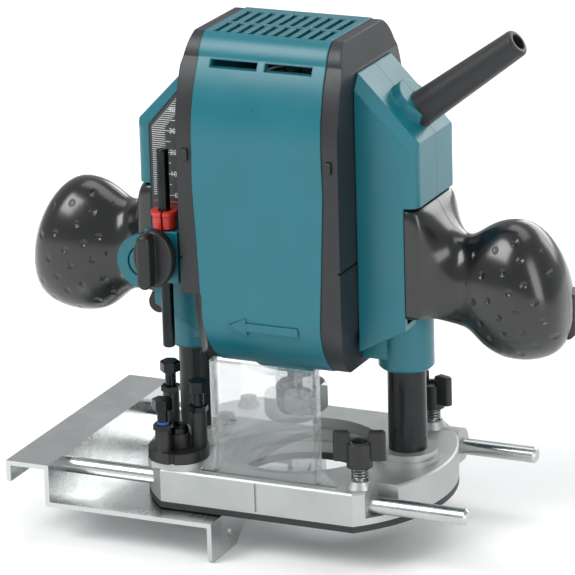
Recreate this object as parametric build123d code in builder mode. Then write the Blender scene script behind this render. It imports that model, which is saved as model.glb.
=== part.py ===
from build123d import *
from math import atan2, cos, degrees, hypot, radians, sin
import os

# Small plunge router with an edge guide, in millimetres.
# Z runs up the spindle axis, X from handle to handle, -Y is the front.
# Z = 0 is the underside of the sole. The motor is at the top of its travel.

# Clearances
RUNNING = 0.06        # shaft in a hole, radial
GAP = 0.3             # faces of pieces that move past each other
SEAT = 0.05           # fixed pieces that sit in one another

# Sole and base casting
SOLE_RADIUS = 71.0
SOLE_HALF_DEPTH = 53.0
SOLE_THICKNESS = 3.0
SOLE_OPENING = 30.0
BASE_TOP = 18.3
OPENING_UPPER = 36.0
OPENING_MIDDLE = 33.0
OPENING_LOWER = 31.0
OPENING_STEP_UPPER = 13.0
OPENING_STEP_LOWER = 8.0
GUIDE_SCREW_PCD = 82.0
GUIDE_SCREW_RADIUS = 2.1

# Columns, their springs and the plunge
COLUMN_X = 52.0
COLUMN_RADIUS = 8.8
COLUMN_BORE = 6.3
COLUMN_FOOT = 5.0
COLUMN_TOP = 126.0
COLUMN_BOSS_TOP = 23.4
PLUNGE_TRAVEL = 35.0
SPRING_WIRE = 0.8
SPRING_COIL = 4.6
SPRING_TOP = COLUMN_TOP + PLUNGE_TRAVEL + 2

# Guide rods, their clamps and the edge guide
ROD_Y = 42.1
ROD_Z = 10.5
ROD_RADIUS = 3.75
ROD_END = 98.0
WEB_X = -99.7
CLAMP_X = 46.5
CLAMP_SCREW_RADIUS = 2.5
CLAMP_BOSS_TOP = 21.6
CLAMP_HUB_BOTTOM = 28.0
CLAMP_HUB_RADIUS = 5.9
CLAMP_HUB_HEIGHT = 11.5
CLAMP_WING_SPAN = 11.8
POCKET_START = CLAMP_X + 5.0
FENCE_SHEET = 2.2
FENCE_HALF_DEPTH = 63.5
FENCE_FLANGE_TOP = 17.0
FENCE_FLANGE_END = -120.3
FENCE_OUTER_LIP = 10.0
FENCE_PLATE_TOP = -0.6
FENCE_INNER_X = -17.5
FENCE_LIP_BOTTOM = -19.4
FENCE_LIP_START = 25.0
FACING_HOLE_RADIUS = 2.25
FACING_HOLE_Y = 44.5
FACING_HOLE_Z = -11.0

# Turret, stop bolts, pole and pointer
TURRET_CENTRE = (-43.2, -41.0)
TURRET_RADIUS = 13.8
TURRET_PAD_TOP = 21.5
TURRET_DISC = 5.0
STOP_CIRCLE = 9.7
STOP_START_ANGLE = 132.0
STOP_TUBE_TOPS = (49.5, 36.8, 43.3)
STOP_TUBE_RADIUS = 3.7
STOP_BOLT_RADIUS = 2.5
STOP_BOLT_EXPOSED = 9.4
STOP_HEAD_HEIGHT = 5.0
STOP_HEAD_FLATS = 8.0
POLE_RADIUS = 2.8
POLE_BOTTOM = 70.5
POLE_TOP = 163.0
POINTER_BOTTOM = 126.8
POINTER_HEIGHT = 8.0
POINTER_RADIUS = 5.4
KNOB_Z = 115.5
SCALE_OUTER = 61.3
SCALE_BOTTOM = 126.0
TURRET_SCREW_TIP = ROD_Z + ROD_RADIUS + 0.4

# Chip deflector
DEFLECTOR_FRONT = -48.6
DEFLECTOR_CENTRE_X = 2.5
DEFLECTOR_HALF_WIDTH = 26.0
DEFLECTOR_FEET = (5.6, 9.0)
DEFLECTOR_DEPTH = 5.6
DEFLECTOR_TOP = 71.5
DEFLECTOR_WALL = 2.2

# Motor body
BODY_TOP = 217.0
BODY_BOTTOM = 64.4
BODY_FRONT = -42.2
BODY_REAR = 35.2
PANEL_HALF_WIDTH = 31.5
PANEL_FOOT_HALF_WIDTH = 27.0
BODY_WALL = 2.6
VENT_COUNT = 10
VENT_PITCH = 5.65
VENT_WIDTH = 3.0
FRONT_SLOT_Z = 204.5
FRONT_SLOT_HALF = 24.5
SIDE_COVER_X = 38.9
SIDE_COVER_SEAM_Z = 116.0
NOSE_RADIUS = 22.0
NOSE_BOTTOM = 60.3
WEB_BOTTOM = 68.0
WEB_TOP = 80.0
WEB_HALF_DEPTH = 12.0
SLEEVE_RADIUS = 12.7
SLEEVE_BOTTOM = 62.2
SLEEVE_TOP = 104.0

# Arms and handles
ARM_INNER = 39.2
ARM_OUTER = 68.0
ARM_HALF_DEPTH = 23.0
ARM_PEAK = 201.6
ARM_SHOULDER = 172.0
ARM_BOTTOM_INNER = 74.4
ARM_BOTTOM_OUTER = 89.6
ARM_WALL = 2.6
HANDLE_TOP = 143.0
HANDLE_ROOT = 61.5
HANDLE_WALL = 2.6
HANDLE_BOTTOM = 90.4
NECK_HEIGHT = 111.0
ARM_SCREWS = ((43.6, 184.0), (60.2, 168.6))
GRIP_SCREW = (104.0, 104.0)
SCREW_HEAD_RADIUS = 3.1

# Grip: distance from the spindle, centre height, half height and half depth
GRIP_SECTIONS = (
    (75.0, 106.4, 20.8, 16.0),
    (83.5, 105.6, 21.0, 15.6),
    (92.0, 104.2, 27.6, 18.6),
    (102.0, 104.0, 32.0, 21.0),
    (111.0, 104.0, 32.0, 22.0),
    (119.0, 101.4, 27.4, 20.6),
    (125.5, 98.4, 20.6, 17.4),
    (130.0, 95.4, 10.6, 10.0),
)

# Cord guard
GUARD_ANGLE = 36.5
GUARD_ROOT = (57.0, 179.2)
GUARD_TIP = (107.5, 216.6)
GUARD_ROOT_RADIUS = 7.9
GUARD_TIP_RADIUS = 6.3
CORD_RADIUS = 3.8

# Trigger, lock-on button, plunge lock lever and shaft lock
TRIGGER = (122.75, 10.0, 92.0)
TRIGGER_SIZE = (14.5, 9.0, 22.0)
LOCK_BUTTON = (103.0, 24.0, 121.0)
LOCK_BUTTON_RADIUS = 3.8
LEVER_PIN_RADIUS = 3.5
LEVER_FRONT = ARM_HALF_DEPTH + 0.5
LEVER_BACK = LEVER_FRONT + 5.6
PIVOT_X = -66.0
PIVOT_Z = 106.0
SHAFT_LOCK_Z = 63.4
LOCK_PIN_RADIUS = 1.9
SHAFT_LOCK_RADIUS = 4.6

# Rotor
SPINDLE_RADIUS = 6.4
COLLET_BORE = 4.0
NUT_FLATS = 21.0
NUT_BOTTOM = 35.6
NUT_TOP = 48.6
LOWER_BEARING = (66.0, 77.0, 16.0)
UPPER_BEARING = (187.0, 194.0, 11.0)
UPPER_JOURNAL = 4.0
FAN = (84.0, 93.0, 24.8)
CORE = (104.0, 150.0, 18.0)
COMMUTATOR = (162.0, 178.0, 11.0)
STATOR_GAP = 0.6
STATOR_RADIUS = 26.4
BRUSH_Z = 170.0

SIDES = (-1, 1)
SIDE_NAMES = ((-1, "left"), (1, "right"))
BOTTOM = (Align.CENTER, Align.CENTER, Align.MIN)
TOP = (Align.CENTER, Align.CENTER, Align.MAX)
ALONG_X = (0, 90, 0)
ALONG_FRONT = (90, 0, 0)

os.makedirs("parts", exist_ok=True)


def save(part, name):
    part.label = name
    export_step(part, "parts/" + name + ".step")


def save_halves(whole, name):
    """Cut a moulding at Y = 0 into its front and rear shells."""
    for side, where in ((-1, "front"), (1, "rear")):
        with BuildPart() as shell:
            add(whole)
            with Locations((0, side * (100 + SEAT / 2), 0)):
                Box(400, 200, 600, mode=Mode.INTERSECT)
        save(shell.part, name + "_" + where)


def stop_positions():
    """Centres of the three stop bolts; the first one is under the pole."""
    places = []
    for index in range(3):
        angle = radians(STOP_START_ANGLE + 120 * index)
        x = TURRET_CENTRE[0] + STOP_CIRCLE * cos(angle)
        y = TURRET_CENTRE[1] + STOP_CIRCLE * sin(angle)
        places.append((x, y))
    return places


STOPS = stop_positions()
POLE_X, POLE_Y = STOPS[0]
POLE_GUIDE_FRONT = POLE_Y - POLE_RADIUS - 1.5


# ---------------------------------------------------------------- base

def sole_outline():
    """Round sole cut flat at the front and the rear."""
    with BuildSketch() as outline:
        Circle(SOLE_RADIUS)
        Rectangle(2 * SOLE_RADIUS, 2 * SOLE_HALF_DEPTH, mode=Mode.INTERSECT)
    return outline.sketch


def make_sole():
    outline = sole_outline()
    screws = [(x, y) for x in (-62, 62) for y in (-20, 20)]
    with BuildPart() as sole_plate:
        with BuildSketch():
            add(outline)
            Circle(SOLE_OPENING, mode=Mode.SUBTRACT)
        extrude(amount=SOLE_THICKNESS)
        with Locations(*[(x, y, 0) for x, y in screws]):
            Cone(3.6, 1.8, 1.8, align=BOTTOM, mode=Mode.SUBTRACT)
            Cylinder(1.8, SOLE_THICKNESS, align=BOTTOM, mode=Mode.SUBTRACT)
    save(sole_plate.part, "sole_plate")
    with BuildPart() as sole_screws:
        with Locations(*[(x, y, 0.2) for x, y in screws]):
            Cone(3.1, 1.55, 1.55, align=BOTTOM)
            Cylinder(1.55, 9.8, align=BOTTOM)
            Box(4, 0.7, 0.6, align=BOTTOM, mode=Mode.SUBTRACT)
    save(sole_screws.part, "sole_screws")
    return screws


def make_base(screws):
    outline = sole_outline()
    rods = [Location((0, side * ROD_Y, ROD_Z), ALONG_X) for side in SIDES]
    column_feet = [(side * COLUMN_X, 0, COLUMN_FOOT) for side in SIDES]
    with BuildPart() as base_casting:
        with BuildSketch(Plane.XY.offset(SOLE_THICKNESS)):
            add(outline)
        extrude(amount=BASE_TOP - SOLE_THICKNESS)
        chamfer(base_casting.faces().sort_by(Axis.Z)[-1].edges(), 0.8)
        with BuildSketch(Plane.XY.offset(BASE_TOP)):
            with Locations(TURRET_CENTRE):
                Circle(TURRET_RADIUS + 0.4)
            Rectangle(2 * SOLE_RADIUS, 2 * SOLE_HALF_DEPTH - 1, mode=Mode.INTERSECT)
        extrude(amount=TURRET_PAD_TOP - BASE_TOP)
        for side in SIDES:
            with Locations((side * COLUMN_X, 0, BASE_TOP)):
                Cylinder(15.2, 2.2, align=BOTTOM)
                Cylinder(13.4, COLUMN_BOSS_TOP - BASE_TOP, align=BOTTOM)
            with Locations((CLAMP_X, side * ROD_Y, BASE_TOP)):
                Cone(6.4, 4.8, CLAMP_BOSS_TOP - BASE_TOP, align=BOTTOM)
        with Locations(Location((54, ROD_Y, ROD_Z), ALONG_X)):
            Cylinder(8.4, 14)
        Box(400, 400, SOLE_THICKNESS, align=BOTTOM, mode=Mode.SUBTRACT)
        # stepped opening for the cutter and for a template guide
        with Locations((0, 0, 0)):
            Cylinder(OPENING_LOWER, BASE_TOP + 1, align=BOTTOM, mode=Mode.SUBTRACT)
        with Locations((0, 0, OPENING_STEP_LOWER)):
            Cylinder(OPENING_MIDDLE, 20, align=BOTTOM, mode=Mode.SUBTRACT)
        with Locations((0, 0, OPENING_STEP_UPPER)):
            Cylinder(OPENING_UPPER, 20, align=BOTTOM, mode=Mode.SUBTRACT)
        # lightening pockets under the columns' sides
        with BuildSketch(Plane.XY.offset(SOLE_THICKNESS)):
            Circle(66)
            Circle(40, mode=Mode.SUBTRACT)
            Rectangle(140, 56, mode=Mode.INTERSECT)
            with Locations((COLUMN_X, 0), (-COLUMN_X, 0)):
                Circle(13, mode=Mode.SUBTRACT)
            with Locations(*screws):
                Circle(4.5, mode=Mode.SUBTRACT)
            with Locations(TURRET_CENTRE, (-44, 18)):
                Circle(6, mode=Mode.SUBTRACT)
        extrude(amount=10, mode=Mode.SUBTRACT)
        # front bar ends early and leaves the rod in an open corner
        with Locations((POCKET_START, -SOLE_HALF_DEPTH - 1, 6)):
            Box(30, 19, 30, align=(Align.MIN, Align.MIN, Align.MIN), mode=Mode.SUBTRACT)
        with Locations(*rods):
            Cylinder(ROD_RADIUS + RUNNING, 3 * SOLE_RADIUS, mode=Mode.SUBTRACT)
        with Locations(*column_feet):
            Cylinder(COLUMN_RADIUS, 40, align=BOTTOM, mode=Mode.SUBTRACT)
        for side in SIDES:
            with Locations((CLAMP_X, side * ROD_Y, ROD_Z)):
                Cylinder(CLAMP_SCREW_RADIUS + RUNNING, 20, align=BOTTOM, mode=Mode.SUBTRACT)
        with Locations((*TURRET_CENTRE, TURRET_SCREW_TIP)):
            Cylinder(2.5, 20, align=BOTTOM, mode=Mode.SUBTRACT)
        with Locations((-45.5, 39.2, BASE_TOP - 3.5)):
            Cylinder(2.0, 10, align=BOTTOM, mode=Mode.SUBTRACT)
        with Locations((-44, 18, BASE_TOP - 5)):
            Cylinder(2.2, 10, align=BOTTOM, mode=Mode.SUBTRACT)
        with Locations(*[(x, y, SOLE_THICKNESS) for x, y in screws]):
            Cylinder(1.55, 8, align=BOTTOM, mode=Mode.SUBTRACT)
        with Locations((0, 0, BASE_TOP + 1)):
            with PolarLocations(GUIDE_SCREW_PCD / 2, 2, start_angle=24):
                Cylinder(GUIDE_SCREW_RADIUS, 12, align=TOP, mode=Mode.SUBTRACT)
        # centre mark on the front face
        with Locations((0, -SOLE_HALF_DEPTH, SOLE_THICKNESS + 1)):
            Box(1.2, 1.6, BASE_TOP - SOLE_THICKNESS - 2, align=BOTTOM, mode=Mode.SUBTRACT)
    save(base_casting.part, "base_casting")


def make_columns():
    for side, name in SIDE_NAMES:
        with BuildPart() as column:
            with Locations((side * COLUMN_X, 0, COLUMN_FOOT)):
                Cylinder(COLUMN_RADIUS, COLUMN_TOP - COLUMN_FOOT, align=BOTTOM)
            chamfer(column.edges().group_by(Axis.Z)[-1], 1)
            with Locations((side * COLUMN_X, 0, COLUMN_FOOT + 4)):
                Cylinder(COLUMN_BORE, COLUMN_TOP, align=BOTTOM, mode=Mode.SUBTRACT)
        save(column.part, name + "_column")


def helix_spring(x, y, bottom, top, coil, wire, turns):
    """Open coil spring standing between two heights."""
    height = top - bottom - 2 * wire
    with BuildPart() as spring:
        with BuildLine() as path:
            Helix(height / turns, height, coil, center=(x, y, bottom + wire))
        with BuildSketch(Plane(path.line @ 0, z_dir=path.line % 0)):
            Circle(wire)
        sweep(is_frenet=True)
    return spring.part


def make_springs():
    springs = []
    for side in SIDES:
        bottom = COLUMN_FOOT + 4.1
        springs.append(helix_spring(side * COLUMN_X, 0, bottom, SPRING_TOP, SPRING_COIL, SPRING_WIRE, 11))
    save(Compound(children=springs), "plunge_springs")
    springs = []
    for side in SIDES:
        springs.append(helix_spring(
            CLAMP_X, side * ROD_Y, CLAMP_BOSS_TOP + 0.1, CLAMP_HUB_BOTTOM - 0.1, 3.6, 0.45, 4))
    save(Compound(children=springs), "clamp_springs")


def make_deflector():
    """Clear chip guard: a front wall, two short returns and two gusseted feet."""
    front = DEFLECTOR_FRONT
    back = front + DEFLECTOR_DEPTH
    left = DEFLECTOR_CENTRE_X - DEFLECTOR_HALF_WIDTH
    right = DEFLECTOR_CENTRE_X + DEFLECTOR_HALF_WIDTH
    wall = DEFLECTOR_WALL
    with BuildPart() as chip_deflector:
        with BuildSketch(Plane.XY.offset(BASE_TOP)):
            with BuildLine():
                Polyline((left, back), (left, front + 1.5), (left + 1.5, front),
                         (right - 1.5, front), (right, front + 1.5), (right, back),
                         (right - wall, back), (right - wall, front + wall),
                         (left + wall, front + wall), (left + wall, back), close=True)
            make_face()
        extrude(amount=DEFLECTOR_TOP - BASE_TOP)
        for side, corner, reach in ((-1, left, DEFLECTOR_FEET[0]), (1, right, DEFLECTOR_FEET[1])):
            with BuildSketch(Plane.XZ.offset(-front - 1.6)):
                with BuildLine():
                    Polyline((corner - side * 0.6, BASE_TOP), (corner + side * reach, BASE_TOP),
                             (corner + side * reach, BASE_TOP + 1.6), (corner - side * 0.6, BASE_TOP + 10),
                             close=True)
                make_face()
            extrude(amount=1.2)
            with Locations((corner + side * (reach - 1) / 2, front + 0.4, BASE_TOP)):
                Box(reach + 1, 2.4, 1.6, align=(Align.CENTER, Align.MIN, Align.MIN))
    save(chip_deflector.part, "chip_deflector")


def make_nozzle_screw():
    with BuildPart() as nozzle_screw:
        with Locations((-45.5, 39.2, BASE_TOP)):
            Cylinder(5.2, 1.0, align=BOTTOM)
            Cylinder(2.0, 3.4, align=TOP)
        with BuildSketch(Plane.XY.offset(BASE_TOP + 1)):
            with Locations((-45.5, 39.2)):
                RegularPolygon(4.2, 6)
        extrude(amount=3.6)
    save(nozzle_screw.part, "nozzle_screw")


# ---------------------------------------------------------------- turret

def make_turret():
    with BuildPart() as turret_block:
        with Locations((*TURRET_CENTRE, TURRET_PAD_TOP + SEAT)):
            Cylinder(TURRET_RADIUS, TURRET_DISC, align=BOTTOM)
            Cylinder(5.6, 11.5, align=BOTTOM)
        for (x, y), top in zip(STOPS, STOP_TUBE_TOPS):
            with Locations((x, y, TURRET_PAD_TOP + SEAT)):
                Cylinder(STOP_TUBE_RADIUS, top - TURRET_PAD_TOP, align=BOTTOM)
            with Locations((x, y, TURRET_PAD_TOP + 3)):
                Cylinder(STOP_BOLT_RADIUS, 40, align=BOTTOM, mode=Mode.SUBTRACT)
        with Locations((*TURRET_CENTRE, TURRET_PAD_TOP)):
            Cylinder(2.5 + RUNNING, 40, align=BOTTOM, mode=Mode.SUBTRACT)
        with Locations((*TURRET_CENTRE, TURRET_PAD_TOP + TURRET_DISC)):
            with PolarLocations(TURRET_RADIUS, 6, start_angle=STOP_START_ANGLE + 30):
                Cylinder(1.2, 6, align=TOP, mode=Mode.SUBTRACT)
    save(turret_block.part, "turret_block")

    with BuildPart() as turret_screw:
        with Locations((*TURRET_CENTRE, TURRET_PAD_TOP + 11.5 + 2 * SEAT)):
            Cylinder(5.0, 3.0, align=BOTTOM)
        chamfer(turret_screw.edges().group_by(Axis.Z)[-1], 0.6)
        with Locations((*TURRET_CENTRE, TURRET_SCREW_TIP)):
            Cylinder(2.5, TURRET_PAD_TOP + 12 - TURRET_SCREW_TIP, align=BOTTOM)
        with Locations((*TURRET_CENTRE, TURRET_PAD_TOP + 13.4)):
            Box(12, 1.4, 2, align=BOTTOM, mode=Mode.SUBTRACT)
    save(turret_screw.part, "turret_screw")

    with BuildPart() as stop_bolts:
        for (x, y), top in zip(STOPS, STOP_TUBE_TOPS):
            with Locations((x, y, TURRET_PAD_TOP + 6)):
                Cylinder(STOP_BOLT_RADIUS, top + STOP_BOLT_EXPOSED - TURRET_PAD_TOP - 6, align=BOTTOM)
            with BuildSketch(Plane.XY.offset(top + STOP_BOLT_EXPOSED)):
                with Locations((x, y)):
                    RegularPolygon(STOP_HEAD_FLATS / 2, 6, major_radius=False, rotation=18)
            extrude(amount=STOP_HEAD_HEIGHT)
        chamfer(stop_bolts.edges().filter_by(GeomType.LINE).filter_by(
            lambda e: abs(e.center().Z - (STOP_TUBE_TOPS[0] + STOP_BOLT_EXPOSED + STOP_HEAD_HEIGHT)) < 0.01), 0.7)
    save(stop_bolts.part, "stop_bolts")

    with BuildPart() as stop_nuts:
        for (x, y), top in zip(STOPS, STOP_TUBE_TOPS):
            with BuildSketch(Plane.XY.offset(top + 2 * SEAT)):
                with Locations((x, y)):
                    RegularPolygon(STOP_HEAD_FLATS / 2, 6, major_radius=False, rotation=40)
                    Circle(STOP_BOLT_RADIUS, mode=Mode.SUBTRACT)
            extrude(amount=2.4)
    save(stop_nuts.part, "stop_nuts")


# ---------------------------------------------------------------- clamps

def make_clamps():
    """Two wing screws that hold the guide rods; each turns on its own axis."""
    for side, name, turn in ((-1, "front", 20), (1, "rear", -22)):
        with BuildPart() as knob:
            with Locations((CLAMP_X, side * ROD_Y, CLAMP_HUB_BOTTOM)):
                Cylinder(CLAMP_HUB_RADIUS, CLAMP_HUB_HEIGHT, align=BOTTOM)
            for wing in SIDES:
                reach = wing * (CLAMP_WING_SPAN + CLAMP_HUB_RADIUS - 2) / 2
                angle = radians(turn)
                with Locations(Location((CLAMP_X + reach * cos(angle), side * ROD_Y + reach * sin(angle),
                                         CLAMP_HUB_BOTTOM + 3), (0, 0, turn))):
                    Box(CLAMP_WING_SPAN - CLAMP_HUB_RADIUS + 2, 4.6, 13.6, align=BOTTOM)
            fillet(knob.edges().filter_by(Axis.Z).filter_by(
                lambda e: hypot(e.center().X - CLAMP_X, e.center().Y - side * ROD_Y) > CLAMP_WING_SPAN - 2), 2.1)
            fillet(knob.faces().sort_by(Axis.Z)[-2:].edges(), 1.2)
            with Locations((CLAMP_X, side * ROD_Y, CLAMP_HUB_BOTTOM)):
                Cylinder(CLAMP_SCREW_RADIUS, 8, align=BOTTOM, mode=Mode.SUBTRACT)
            with Locations((CLAMP_X, side * ROD_Y, CLAMP_HUB_BOTTOM + CLAMP_HUB_HEIGHT)):
                Cylinder(3.6, 1.2, align=TOP, mode=Mode.SUBTRACT)
        save(knob.part, name + "_clamp_knob")
        with BuildPart() as screw:
            with Locations((CLAMP_X, side * ROD_Y, ROD_Z + ROD_RADIUS + RUNNING)):
                height = CLAMP_HUB_BOTTOM + 8 - ROD_Z - ROD_RADIUS - RUNNING
                Cylinder(CLAMP_SCREW_RADIUS, height, align=BOTTOM)
        save(screw.part, name + "_clamp_screw")


# ---------------------------------------------------------------- edge guide

def make_edge_guide():
    """Bent sheet fence on two rods; the plate runs under the sole."""
    sheet = FENCE_SHEET
    flange = FENCE_FLANGE_TOP
    plate = FENCE_PLATE_TOP
    end = FENCE_FLANGE_END
    inner = FENCE_INNER_X
    with BuildPart() as guide_fence:
        with BuildSketch(Plane.XZ.offset(-FENCE_HALF_DEPTH)):
            with BuildLine():
                Polyline((end, flange - FENCE_OUTER_LIP), (end, flange), (WEB_X + sheet / 2, flange),
                         (WEB_X + sheet / 2, plate), (inner, plate), (inner, FENCE_LIP_BOTTOM),
                         (inner - sheet, FENCE_LIP_BOTTOM), (inner - sheet, plate - sheet),
                         (WEB_X - sheet / 2, plate - sheet), (WEB_X - sheet / 2, flange - sheet),
                         (end + sheet, flange - sheet), (end + sheet, flange - FENCE_OUTER_LIP), close=True)
            make_face()
        extrude(amount=2 * FENCE_HALF_DEPTH)
        # the inner edge leaves a gap for the cutter between its two lips
        with Locations((inner, 0, plate + 1)):
            Box(52, 2 * FENCE_LIP_START, 40, align=TOP, mode=Mode.SUBTRACT)
        corner = guide_fence.edges().filter_by(Axis.X).filter_by(
            lambda e: abs(e.center().Z - FENCE_LIP_BOTTOM) < 0.1)
        chamfer(corner.filter_by(lambda e: abs(e.center().Y) < FENCE_LIP_START + 1), 12)
        corner = guide_fence.edges().filter_by(Axis.X).filter_by(
            lambda e: abs(e.center().Z - FENCE_LIP_BOTTOM) < 0.1)
        fillet(corner.filter_by(lambda e: abs(e.center().Y) > FENCE_LIP_START + 14), 2.5)
        for side in SIDES:
            with Locations(Location((inner, side * FACING_HOLE_Y, FACING_HOLE_Z), ALONG_X)):
                Cylinder(FACING_HOLE_RADIUS, 10, mode=Mode.SUBTRACT)
            with Locations(Location((WEB_X, side * ROD_Y, ROD_Z), ALONG_X)):
                Cylinder(2.1, 10, mode=Mode.SUBTRACT)
    save(guide_fence.part, "guide_fence")
    for side, name in ((-1, "front"), (1, "rear")):
        with BuildPart() as rod:
            start = WEB_X + sheet / 2
            with Locations(Location((start, side * ROD_Y, ROD_Z), ALONG_X)):
                Cylinder(ROD_RADIUS, ROD_END - start, align=BOTTOM)
            chamfer(rod.edges().group_by(Axis.X)[-1], 1)
            with Locations(Location((start, side * ROD_Y, ROD_Z), ALONG_X)):
                Cylinder(2.0, 10, align=BOTTOM, mode=Mode.SUBTRACT)
        save(rod.part, name + "_guide_rod")
    with BuildPart() as rod_screws:
        for side in SIDES:
            with Locations(Location((WEB_X - sheet / 2, side * ROD_Y, ROD_Z), ALONG_X)):
                Cylinder(3.6, 2.4, align=TOP)
                Cylinder(2.0, sheet + 9.5, align=BOTTOM)
            with Locations((WEB_X - sheet / 2 - 2.4, side * ROD_Y, ROD_Z)):
                Box(1.8, 1.0, 5, mode=Mode.SUBTRACT)
    save(rod_screws.part, "rod_screws")


# ---------------------------------------------------------------- motor body

def body_block(half_width, inset=0.0):
    """The motor body's side profile, pulled in by a wall and extruded across."""
    front = BODY_FRONT + inset
    rear = BODY_REAR - inset
    top = BODY_TOP - inset
    low = BODY_BOTTOM + (inset * 0.5)
    with BuildPart() as block:
        with BuildSketch(Plane.YZ.offset(-half_width)):
            with BuildLine():
                Line((front + 17.2, top), (rear - 17.2, top))
                ThreePointArc((rear - 17.2, top), (rear - 13.0, top - 3.0), (rear - 9.4, top - 10))
                ThreePointArc((rear - 9.4, top - 10), (rear - 2.6, top - 26), (rear, top - 50))
                Line((rear, top - 50), (rear, 90))
                ThreePointArc((rear, 90), (rear - 4, 78), (rear - 17.7, low))
                Line((rear - 17.7, low), (front + 17.7, low))
                ThreePointArc((front + 17.7, low), (front + 4, 78), (front, 90))
                Line((front, 90), (front, top - 50))
                ThreePointArc((front, top - 50), (front + 2.6, top - 26), (front + 9.4, top - 10))
                ThreePointArc((front + 9.4, top - 10), (front + 13.0, top - 3.0), (front + 17.2, top))
            make_face()
        extrude(amount=2 * half_width)
    return block.part


def panel_block(inset=0.0):
    """Everything between the two flanks of the motor body, tapered at the foot."""
    wide = PANEL_HALF_WIDTH - inset
    foot = PANEL_FOOT_HALF_WIDTH - inset
    with BuildPart() as block:
        with BuildSketch(Plane.XZ.offset(-100)):
            with BuildLine():
                Polyline((-foot, 50), (-wide, 150), (-wide + 1.2, 230), (wide - 1.2, 230),
                         (wide, 150), (foot, 50), close=True)
            make_face()
        extrude(amount=200)
    return block.part


def turret_sweep():
    """Space that the turning stop bolts need when the motor is fully plunged."""
    head = STOP_HEAD_FLATS / 2 / cos(radians(30))
    tallest = max(STOP_TUBE_TOPS) + STOP_BOLT_EXPOSED + STOP_HEAD_HEIGHT
    with BuildPart() as sweep:
        with Locations((*TURRET_CENTRE, 0)):
            Cylinder(STOP_CIRCLE + head + GAP, tallest + PLUNGE_TRAVEL + 2 * GAP, align=BOTTOM)
    return sweep.part


def make_motor_cover():
    sweep = turret_sweep()
    body = body_block(PANEL_HALF_WIDTH + 5) & panel_block()
    cavity = body_block(PANEL_HALF_WIDTH + 5, BODY_WALL) & panel_block(BODY_WALL)
    with BuildPart() as motor_cover:
        add(body)
        add(cavity, mode=Mode.SUBTRACT)
        # ribs that hold the stator at the front and the rear
        for x in (-12, 12):
            with Locations((x, BODY_FRONT + 1, CORE[0])):
                Box(2.4, 20, CORE[1] - CORE[0], align=(Align.CENTER, Align.MIN, Align.MIN))
            with Locations((x, BODY_REAR - 1, CORE[0])):
                Box(2.4, 14, CORE[1] - CORE[0], align=(Align.CENTER, Align.MAX, Align.MIN))
        with Locations((0, 0, CORE[0] - 1)):
            Cylinder(STATOR_RADIUS + SEAT, CORE[1] - CORE[0] + 2, align=BOTTOM, mode=Mode.SUBTRACT)
        # the nose and the bracket's web stand in the open foot
        with Locations((0, 0, BODY_BOTTOM - 2)):
            Cylinder(NOSE_RADIUS + SEAT, WEB_TOP - BODY_BOTTOM + 3, align=BOTTOM, mode=Mode.SUBTRACT)
        with Locations((0, 0, WEB_BOTTOM - SEAT)):
            Box(100, 2 * (WEB_HALF_DEPTH + SEAT), WEB_TOP - WEB_BOTTOM + 2 * SEAT, align=BOTTOM,
                mode=Mode.SUBTRACT)
        # two rows of cooling slots in the top
        for index in range(VENT_COUNT):
            x = (index - (VENT_COUNT - 1) / 2) * VENT_PITCH
            with Locations((x, -17.5, BODY_TOP + 1)):
                Box(VENT_WIDTH, 15.5, 6, align=TOP, mode=Mode.SUBTRACT)
            with Locations((x, 2.0, BODY_TOP + 1)):
                Box(VENT_WIDTH, 19, 6, align=TOP, mode=Mode.SUBTRACT)
        # long front slot with a centre rib
        for side in SIDES:
            with Locations((side * (FRONT_SLOT_HALF / 2 + 0.9), BODY_FRONT + 8, FRONT_SLOT_Z)):
                Box(FRONT_SLOT_HALF - 1.8, 16, 3.4, mode=Mode.SUBTRACT)
        add(sweep, mode=Mode.SUBTRACT)
        # room behind the shaft lock's button
        with Locations(Location((0, NOSE_RADIUS + 14, SHAFT_LOCK_Z), ALONG_FRONT)):
            Cylinder(SHAFT_LOCK_RADIUS + GAP, 30, mode=Mode.SUBTRACT)
        # brush holders reach the side walls through windows
        with Locations((0, 0, BRUSH_Z)):
            Box(80, 13, 15, mode=Mode.SUBTRACT)
    save(motor_cover.part, "motor_cover")


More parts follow.
